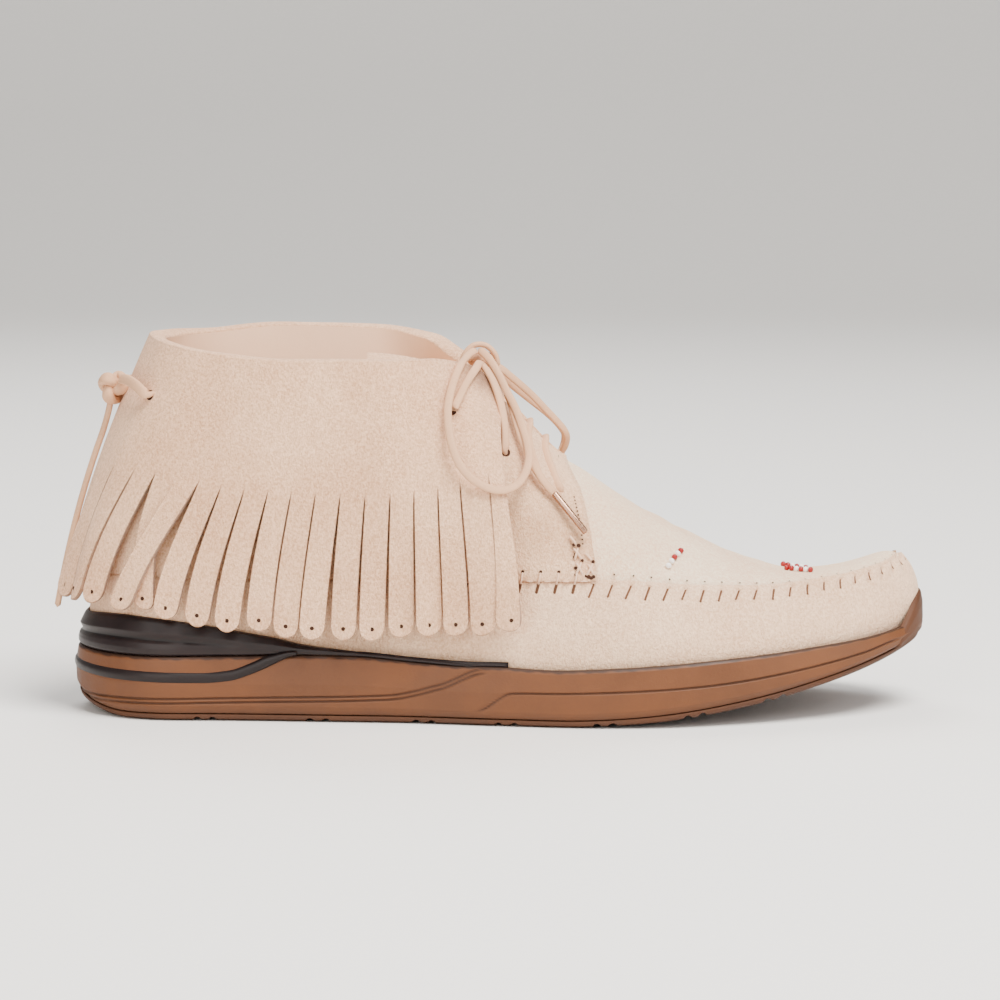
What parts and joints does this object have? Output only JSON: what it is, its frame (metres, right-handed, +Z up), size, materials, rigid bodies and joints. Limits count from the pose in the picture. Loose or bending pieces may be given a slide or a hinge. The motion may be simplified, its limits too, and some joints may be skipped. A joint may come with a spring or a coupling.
{
  "type": "fringed moccasin sneaker",
  "caption": "Ankle-high suede moccasin sneaker for the right foot, with a fringed turn-down cuff, leather thong lacing and a moulded running sole with a hard heel stabiliser.",
  "frame": {"origin": "middle of the shoe's bounding box, on the floor that it stands on", "axes": "+X towards the toe, +Y towards the medial side of the right foot, +Z up"},
  "size_m": [0.3006, 0.1054, 0.1285],
  "materials": {
    "suede": "napped suede",
    "foam": "satin moulded foam",
    "rubber": "matte moulded rubber",
    "moulding": "gloss",
    "lining": "brushed",
    "thong": "napped leather lace",
    "metal": "polished tip",
    "beads": "glossy glass"
  },
  "bodies": {
    "root": {"outsole": "rubber", "midsole": "foam", "heel_stabiliser": "moulding", "insole": "lining", "upper": "suede", "tongue": "suede", "fringe_cuff": "suede", "lace_bar_middle": "thong", "lace_bar_low": "thong", "lace_knot": "thong", "lace_loop_lateral": "thong", "lace_loop_medial": "thong", "lace_end_lateral": "thong", "lace_strand_collar": "thong", "lace_strand_eyelet": "thong", "heel_thong_knot": "thong", "heel_thong_lateral": "thong", "heel_thong_medial": "thong", "heel_thong_end": "thong", "aglet_lateral": "metal", "bead_row_lateral": "beads", "bead_row_medial": "beads", "bead_row_toe_lateral": "beads", "bead_row_toe_medial": "beads"}
  },
  "joints": []
}
